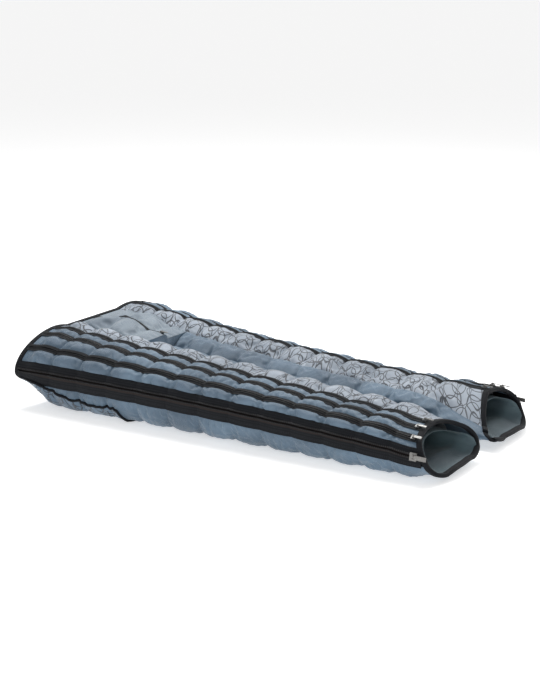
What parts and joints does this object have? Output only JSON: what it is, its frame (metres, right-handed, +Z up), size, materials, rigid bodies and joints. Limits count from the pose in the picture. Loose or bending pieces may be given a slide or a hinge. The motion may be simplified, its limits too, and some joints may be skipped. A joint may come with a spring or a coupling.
{
  "type": "compression therapy trousers",
  "caption": "Air compression therapy trousers lying flat: quilted leg tubes with a shared hip, welded air cells, side gusset zips with sliders, and bound waist and foot openings.",
  "frame": {"origin": "centre of the bounding box on the floor under the garment, which lies on its back", "axes": "+Z up, +X along the garment from the waist to the feet, +Y from the near leg to the far leg"},
  "size_m": [1.15, 0.5862, 0.1766],
  "materials": {
    "plain_nylon": "satin coated woven nylon",
    "patterned_nylon": "satin coated nylon printed with dark loose loops",
    "dark_lining": "matte smooth lining cloth",
    "bladder_film": "welded flexible film pouch",
    "black_binding": "woven edge binding",
    "zip_tape": "woven zip tape with moulded coil",
    "zip_metal": "plated die-cast metal",
    "black_plastic": "moulded plastic"
  },
  "bodies": {
    "garment": {"near_front_panel": "patterned_nylon", "near_upper_gusset": "plain_nylon", "near_middle_gusset": "plain_nylon", "near_lower_gusset": "plain_nylon", "near_back_panel": "plain_nylon", "near_inner_panel": "plain_nylon", "near_hip_patch": "patterned_nylon", "near_thigh_bladder": "bladder_film", "near_calf_bladder": "bladder_film", "near_leg_lining": "dark_lining", "near_foot_binding": "black_binding", "near_zip_a": "zip_tape", "near_zip_b": "zip_tape", "near_zip_c": "zip_tape", "near_main_zip": "zip_tape", "near_air_inlet": "black_plastic", "far_front_panel": "patterned_nylon", "far_upper_gusset": "plain_nylon", "far_middle_gusset": "plain_nylon", "far_lower_gusset": "plain_nylon", "far_back_panel": "plain_nylon", "far_inner_panel": "plain_nylon", "far_hip_patch": "patterned_nylon", "far_thigh_bladder": "bladder_film", "far_calf_bladder": "bladder_film", "far_leg_lining": "dark_lining", "far_foot_binding": "black_binding", "far_zip_a": "zip_tape", "far_zip_b": "zip_tape", "far_zip_c": "zip_tape", "far_main_zip": "zip_tape", "far_air_inlet": "black_plastic", "near_centre_panel": "plain_nylon", "near_abdomen_bladder": "bladder_film", "far_centre_panel": "plain_nylon", "far_abdomen_bladder": "bladder_film", "seat_bladder": "bladder_film", "centre_back_panel": "plain_nylon", "hip_lining": "dark_lining", "waist_binding": "black_binding", "crotch_gusset": "plain_nylon", "fly_zip": "zip_tape"},
    "near_zip_a_slider": {"near_zip_a_slider": "zip_metal"},
    "near_zip_a_pull": {"near_zip_a_pull": "zip_metal"},
    "near_zip_b_slider": {"near_zip_b_slider": "zip_metal"},
    "near_zip_b_pull": {"near_zip_b_pull": "zip_metal"},
    "near_zip_c_slider": {"near_zip_c_slider": "zip_metal"},
    "near_zip_c_pull": {"near_zip_c_pull": "zip_metal"},
    "near_main_zip_slider": {"near_main_zip_slider": "zip_metal"},
    "near_main_zip_pull": {"near_main_zip_pull": "zip_metal"},
    "far_zip_a_slider": {"far_zip_a_slider": "zip_metal"},
    "far_zip_a_pull": {"far_zip_a_pull": "zip_metal"},
    "far_zip_b_slider": {"far_zip_b_slider": "zip_metal"},
    "far_zip_b_pull": {"far_zip_b_pull": "zip_metal"},
    "far_zip_c_slider": {"far_zip_c_slider": "zip_metal"},
    "far_zip_c_pull": {"far_zip_c_pull": "zip_metal"},
    "far_main_zip_slider": {"far_main_zip_slider": "zip_metal"},
    "far_main_zip_pull": {"far_main_zip_pull": "zip_metal"},
    "fly_zip_slider": {"fly_zip_slider": "zip_metal"},
    "fly_zip_pull": {"fly_zip_pull": "zip_metal"}
  },
  "joints": [
    {"name": "near_zip_a_slide", "type": "slide", "parent": "garment", "child": "near_zip_a_slider", "axis": [0.9979, 0.0085, -0.0641], "range_m": [-1.0286, 0]},
    {"name": "near_zip_a_pull_hinge", "type": "hinge", "parent": "near_zip_a_slider", "child": "near_zip_a_pull", "pos_m": [0.48512, -0.14778, 0.11418], "axis": [-0.0059, 0.9992, 0.0408], "range_deg": [-170, 6]},
    {"name": "near_zip_b_slide", "type": "slide", "parent": "garment", "child": "near_zip_b_slider", "axis": [0.9981, 0.0129, -0.0605], "range_m": [-1.0329, 0]},
    {"name": "near_zip_b_pull_hinge", "type": "hinge", "parent": "near_zip_b_slider", "child": "near_zip_b_pull", "pos_m": [0.4878, -0.18633, 0.11023], "axis": [0.0014, 0.9728, 0.2315], "range_deg": [-170, 6]},
    {"name": "near_zip_c_slide", "type": "slide", "parent": "garment", "child": "near_zip_c_slider", "axis": [0.9984, 0.0277, -0.0494], "range_m": [-1.0461, 0]},
    {"name": "near_zip_c_pull_hinge", "type": "hinge", "parent": "near_zip_c_slider", "child": "near_zip_c_pull", "pos_m": [0.49655, -0.22382, 0.0969], "axis": [0.0024, 0.8506, 0.5257], "range_deg": [-170, 6]},
    {"name": "near_main_zip_slide", "type": "slide", "parent": "garment", "child": "near_main_zip_slider", "axis": [0.9986, 0.0415, -0.0315], "range_m": [-1.0629, 0]},
    {"name": "near_main_zip_pull_hinge", "type": "hinge", "parent": "near_main_zip_slider", "child": "near_main_zip_pull", "pos_m": [0.51099, -0.25394, 0.06055], "axis": [0.0248, 0.1519, 0.9881], "range_deg": [-170, 6]},
    {"name": "far_zip_a_slide", "type": "slide", "parent": "garment", "child": "far_zip_a_slider", "axis": [0.9979, -0.0085, -0.0641], "range_m": [-1.0286, 0]},
    {"name": "far_zip_a_pull_hinge", "type": "hinge", "parent": "far_zip_a_slider", "child": "far_zip_a_pull", "pos_m": [0.48512, 0.14778, 0.11418], "axis": [0.0059, 0.9992, -0.0408], "range_deg": [-170, 6]},
    {"name": "far_zip_b_slide", "type": "slide", "parent": "garment", "child": "far_zip_b_slider", "axis": [0.9981, -0.0129, -0.0605], "range_m": [-1.0329, 0]},
    {"name": "far_zip_b_pull_hinge", "type": "hinge", "parent": "far_zip_b_slider", "child": "far_zip_b_pull", "pos_m": [0.4878, 0.18633, 0.11023], "axis": [-0.0014, 0.9728, -0.2315], "range_deg": [-170, 6]},
    {"name": "far_zip_c_slide", "type": "slide", "parent": "garment", "child": "far_zip_c_slider", "axis": [0.9984, -0.0277, -0.0494], "range_m": [-1.0461, 0]},
    {"name": "far_zip_c_pull_hinge", "type": "hinge", "parent": "far_zip_c_slider", "child": "far_zip_c_pull", "pos_m": [0.49655, 0.22382, 0.0969], "axis": [-0.0024, 0.8506, -0.5257], "range_deg": [-170, 6]},
    {"name": "far_main_zip_slide", "type": "slide", "parent": "garment", "child": "far_main_zip_slider", "axis": [0.9986, -0.0415, -0.0315], "range_m": [-1.0629, 0]},
    {"name": "far_main_zip_pull_hinge", "type": "hinge", "parent": "far_main_zip_slider", "child": "far_main_zip_pull", "pos_m": [0.51099, 0.25394, 0.06055], "axis": [-0.0248, 0.1519, -0.9881], "range_deg": [-170, 6]},
    {"name": "fly_zip_slide", "type": "slide", "parent": "garment", "child": "fly_zip_slider", "axis": [0.9974, 0, -0.0723], "range_m": [-0.205, 0]},
    {"name": "fly_zip_pull_hinge", "type": "hinge", "parent": "fly_zip_slider", "child": "fly_zip_pull", "pos_m": [-0.3384, 0, 0.15833], "axis": [0, 1, 0], "range_deg": [-170, 6]}
  ]
}
